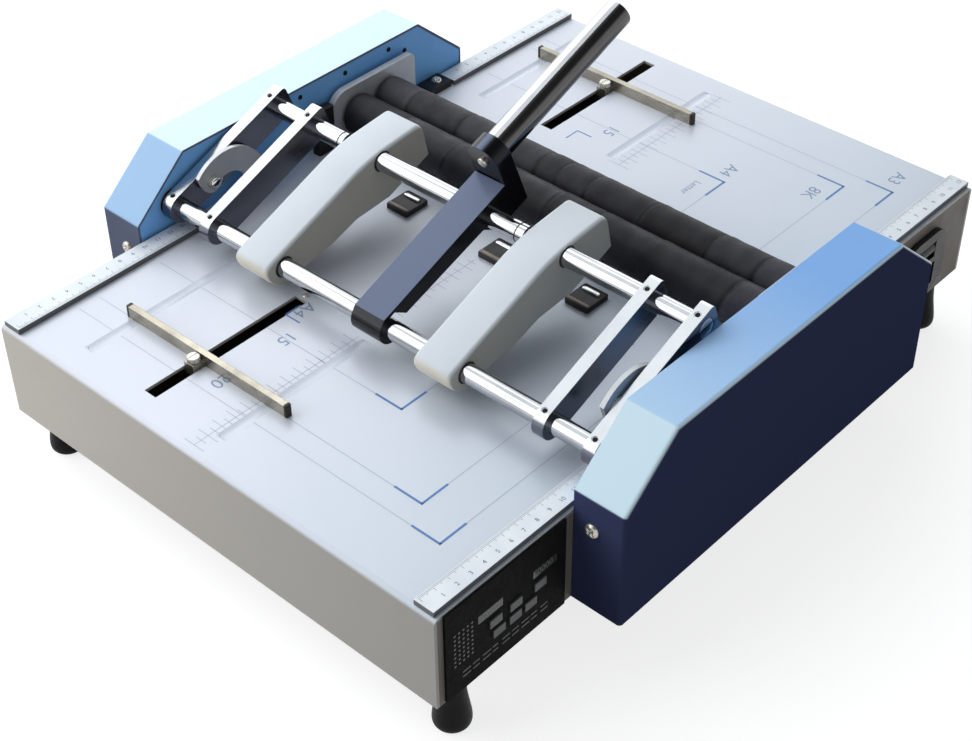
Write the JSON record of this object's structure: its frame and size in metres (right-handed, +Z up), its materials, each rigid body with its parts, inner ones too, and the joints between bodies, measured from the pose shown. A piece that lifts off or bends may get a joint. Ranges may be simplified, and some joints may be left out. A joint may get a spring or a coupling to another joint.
{
  "type": "desktop paper creasing machine",
  "caption": "Desktop machine that staples and folds paper: paper tables with stops, folding rollers between blue side covers, a hinged press frame with staple arms and a hand lever.",
  "frame": {"origin": "on the floor under the middle of the machine", "axes": "+Z up, +X along the rollers to the right side with the control panel, +Y from the front table to the rear table"},
  "size_m": [0.416, 0.5, 0.2392],
  "materials": {
    "sheet_grey": "satin",
    "table_silver": "satin",
    "cover_blue": "satin metallic",
    "wall_blue": "satin",
    "foot_rubber": "matte",
    "roller_rubber": "matte",
    "screw_steel": "polished",
    "screw_black": "black oxide",
    "ruler": "satin",
    "plate_steel": "brushed",
    "bush_bronze": "satin",
    "shaft_steel": "ground",
    "gear_plastic": "moulded",
    "motor_metal": "satin",
    "rod_chrome": "mirror",
    "bar_steel": "bright nickel",
    "spring_steel": "oiled",
    "arm_cream": "semi-gloss",
    "head_steel": "satin",
    "clinch_chrome": "polished",
    "lever_black": "gloss",
    "stop_brass": "polished",
    "panel_black": "gloss",
    "display": "gloss",
    "key_grey": "matte",
    "board_green": "satin",
    "inlet_black": "matte"
  },
  "bodies": {
    "base": {"base_pan": "sheet_grey", "front_table": "table_silver", "rear_table": "table_silver", "feet": "foot_rubber", "left_wall": "wall_blue", "right_wall": "wall_blue", "left_cover": "cover_blue", "right_cover": "cover_blue", "cover_screws": "screw_steel", "wall_screws": "screw_black", "rulers": "ruler", "left_end_plate": "plate_steel", "right_end_plate": "plate_steel", "bushes": "bush_bronze", "drive_motor": "motor_metal", "blade_supports": "gear_plastic", "blade_motor": "motor_metal", "torsion_springs": "spring_steel", "clinch_blocks": "clinch_chrome", "table_brackets": "inlet_black", "table_screws": "screw_steel", "control_panel": "panel_black", "displays": "display", "circuit_board": "board_green", "power_inlet": "inlet_black"},
    "press_frame": {"front_rod": "rod_chrome", "rear_rod": "rod_chrome", "inner_bars": "bar_steel", "outer_bars": "bar_steel", "bar_screws": "screw_black", "left_curved_arm": "plate_steel", "right_curved_arm": "plate_steel", "curved_arm_bolts": "screw_steel", "left_staple_arm": "arm_cream", "right_staple_arm": "arm_cream", "staple_heads": "head_steel", "lever": "lever_black", "handle_tube": "rod_chrome", "handle_screw": "screw_steel"},
    "front_roller": {"front_roller_shaft": "shaft_steel", "front_roller_sleeve": "roller_rubber", "front_roller_gear": "gear_plastic"},
    "rear_roller": {"rear_roller_shaft": "shaft_steel", "rear_roller_sleeve": "roller_rubber", "rear_roller_gear": "gear_plastic"},
    "idler": {"idler_gear": "gear_plastic"},
    "motor_shaft": {"motor_pinion": "shaft_steel"},
    "blade": {"fold_blade": "plate_steel"},
    "blade_drive": {"blade_shaft": "shaft_steel"},
    "front_stop": {"front_stop_bar": "stop_brass"},
    "front_clamp": {"front_stop_screw": "screw_steel"},
    "rear_stop": {"rear_stop_bar": "stop_brass"},
    "rear_clamp": {"rear_stop_screw": "screw_steel"},
    "switch": {"power_switch": "inlet_black"},
    "key_a_body": {"key_a": "key_grey"},
    "key_b_body": {"key_b": "key_grey"},
    "key_c_body": {"key_c": "key_grey"},
    "key_d_body": {"key_d": "key_grey"},
    "key_e_body": {"key_e": "key_grey"},
    "key_f_body": {"key_f": "key_grey"}
  },
  "joints": [
    {"name": "press_hinge", "type": "hinge", "parent": "base", "child": "press_frame", "pos_m": [0, -0.117, 0.1218], "axis": [1, 0, 0], "range_deg": [-12.4, 0], "stiffness_Nm_per_rad": 9, "springref_deg": 16.04},
    {"name": "front_roller_spin", "type": "hinge", "parent": "base", "child": "front_roller", "pos_m": [0, 0.03405, 0.12], "axis": [1, 0, 0], "continuous": true},
    {"name": "rear_roller_spin", "type": "hinge", "parent": "base", "child": "rear_roller", "pos_m": [0, 0.06295, 0.12], "axis": [1, 0, 0], "continuous": true},
    {"name": "idler_spin", "type": "hinge", "parent": "base", "child": "idler", "pos_m": [0.185, 0.01683, 0.09368], "axis": [1, 0, 0], "continuous": true},
    {"name": "motor_spin", "type": "hinge", "parent": "base", "child": "motor_shaft", "pos_m": [0.185, 0.00007, 0.06808], "axis": [1, 0, 0], "continuous": true},
    {"name": "blade_lift", "type": "slide", "parent": "base", "child": "blade", "axis": [0, 0, 1], "range_m": [0, 0.014]},
    {"name": "blade_drive_spin", "type": "hinge", "parent": "base", "child": "blade_drive", "pos_m": [0, 0.0653, 0.074], "axis": [1, 0, 0], "range_deg": [-95, 5]},
    {"name": "front_stop_slide", "type": "slide", "parent": "base", "child": "front_stop", "axis": [0, 1, 0], "range_m": [-0.027, 0.055]},
    {"name": "front_clamp_turn", "type": "hinge", "parent": "front_stop", "child": "front_clamp", "pos_m": [-0.061, -0.199, 0.105], "axis": [0, 0, 1], "range_deg": [0, 180]},
    {"name": "rear_stop_slide", "type": "slide", "parent": "base", "child": "rear_stop", "axis": [0, 1, 0], "range_m": [-0.056, 0.037]},
    {"name": "rear_clamp_turn", "type": "hinge", "parent": "rear_stop", "child": "rear_clamp", "pos_m": [-0.0757, 0.185, 0.105], "axis": [0, 0, 1], "range_deg": [0, 180]},
    {"name": "switch_rock", "type": "hinge", "parent": "base", "child": "switch", "pos_m": [0.172, 0.196, 0.08], "axis": [0, 1, 0], "range_deg": [-12, 12]},
    {"name": "key_a_press", "type": "slide", "parent": "base", "child": "key_a_body", "axis": [1, 0, 0], "range_m": [-0.0008, 0], "stiffness_N_per_m": 400, "springref_m": 0.001},
    {"name": "key_b_press", "type": "slide", "parent": "base", "child": "key_b_body", "axis": [1, 0, 0], "range_m": [-0.0008, 0], "stiffness_N_per_m": 400, "springref_m": 0.001},
    {"name": "key_c_press", "type": "slide", "parent": "base", "child": "key_c_body", "axis": [1, 0, 0], "range_m": [-0.0008, 0], "stiffness_N_per_m": 400, "springref_m": 0.001},
    {"name": "key_d_press", "type": "slide", "parent": "base", "child": "key_d_body", "axis": [1, 0, 0], "range_m": [-0.0008, 0], "stiffness_N_per_m": 400, "springref_m": 0.001},
    {"name": "key_e_press", "type": "slide", "parent": "base", "child": "key_e_body", "axis": [1, 0, 0], "range_m": [-0.0008, 0], "stiffness_N_per_m": 400, "springref_m": 0.001},
    {"name": "key_f_press", "type": "slide", "parent": "base", "child": "key_f_body", "axis": [1, 0, 0], "range_m": [-0.0008, 0], "stiffness_N_per_m": 400, "springref_m": 0.001}
  ],
  "couplings": [
    {"joint": "rear_roller_spin", "follows": "front_roller_spin", "ratio": -1},
    {"joint": "idler_spin", "follows": "front_roller_spin", "ratio": -0.85},
    {"joint": "motor_spin", "follows": "front_roller_spin", "ratio": 1.0625},
    {"joint": "blade_drive_spin", "follows": "blade_lift", "rad_per_m": -111.11}
  ]
}
